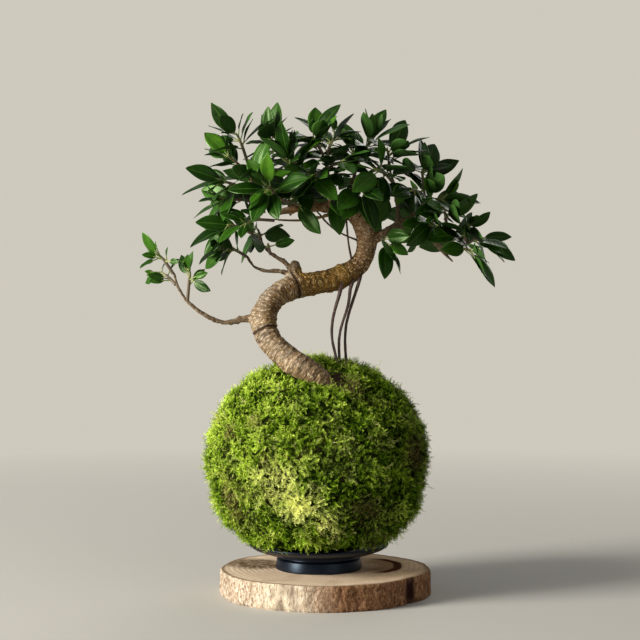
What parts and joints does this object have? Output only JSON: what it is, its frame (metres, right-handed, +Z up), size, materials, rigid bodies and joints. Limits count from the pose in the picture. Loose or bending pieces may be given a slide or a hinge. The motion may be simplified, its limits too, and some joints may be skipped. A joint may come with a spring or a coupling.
{
  "type": "kokedama moss ball plant",
  "caption": "Small fig bonsai with an S-shaped trunk and aerial roots growing from a round moss ball, in a low footed dish on a round slice of wood.",
  "frame": {"origin": "centre of the wood slice's flat underside", "axes": "+Z up, +X to the viewer's right in the picture, +Y away from the viewer"},
  "size_m": [0.3273, 0.1942, 0.438],
  "materials": {
    "slice_wood": "matte",
    "black_dish": "satin",
    "soil": "matte",
    "moss": "matte",
    "bark": "matte",
    "root_bark": "matte",
    "leaf": "satin"
  },
  "bodies": {
    "root": {"wood_slice": "slice_wood", "footed_dish": "black_dish", "soil_ball": "soil", "moss_cover": "moss", "trunk": "bark", "long_root_left": "root_bark", "long_root_middle": "root_bark", "long_root_right": "root_bark", "inner_root_slant": "root_bark", "inner_root_upright": "root_bark", "leafy_shoot_01": "leaf", "leafy_shoot_02": "leaf", "leafy_shoot_03": "leaf", "leafy_shoot_04": "leaf", "leafy_shoot_05": "leaf", "leafy_shoot_06": "leaf", "leafy_shoot_07": "leaf", "leafy_shoot_08": "leaf", "leafy_shoot_09": "leaf", "leafy_shoot_10": "leaf", "leafy_shoot_11": "leaf", "leafy_shoot_12": "leaf", "leafy_shoot_13": "leaf", "leafy_shoot_14": "leaf", "leafy_shoot_15": "leaf", "leafy_shoot_16": "leaf", "leafy_shoot_17": "leaf", "leafy_shoot_18": "leaf", "leafy_shoot_19": "leaf", "leafy_shoot_20": "leaf", "leafy_shoot_21": "leaf", "leafy_shoot_22": "leaf", "leafy_shoot_23": "leaf", "leafy_shoot_24": "leaf", "leafy_shoot_25": "leaf", "leafy_shoot_26": "leaf", "leafy_shoot_27": "leaf", "leafy_shoot_28": "leaf", "leafy_shoot_29": "leaf", "leafy_shoot_30": "leaf", "leafy_shoot_31": "leaf", "leafy_shoot_32": "leaf", "leafy_shoot_33": "leaf", "leafy_shoot_34": "leaf", "leafy_shoot_35": "leaf", "leafy_shoot_36": "leaf", "leafy_shoot_37": "leaf", "leafy_shoot_38": "leaf", "leafy_shoot_39": "leaf", "leafy_shoot_40": "leaf", "leafy_shoot_41": "leaf", "leafy_shoot_42": "leaf", "leafy_shoot_43": "leaf", "leafy_shoot_44": "leaf", "leafy_shoot_45": "leaf", "leafy_shoot_46": "leaf", "leafy_shoot_47": "leaf", "leafy_shoot_48": "leaf", "leafy_shoot_49": "leaf", "leafy_shoot_50": "leaf"}
  },
  "joints": []
}
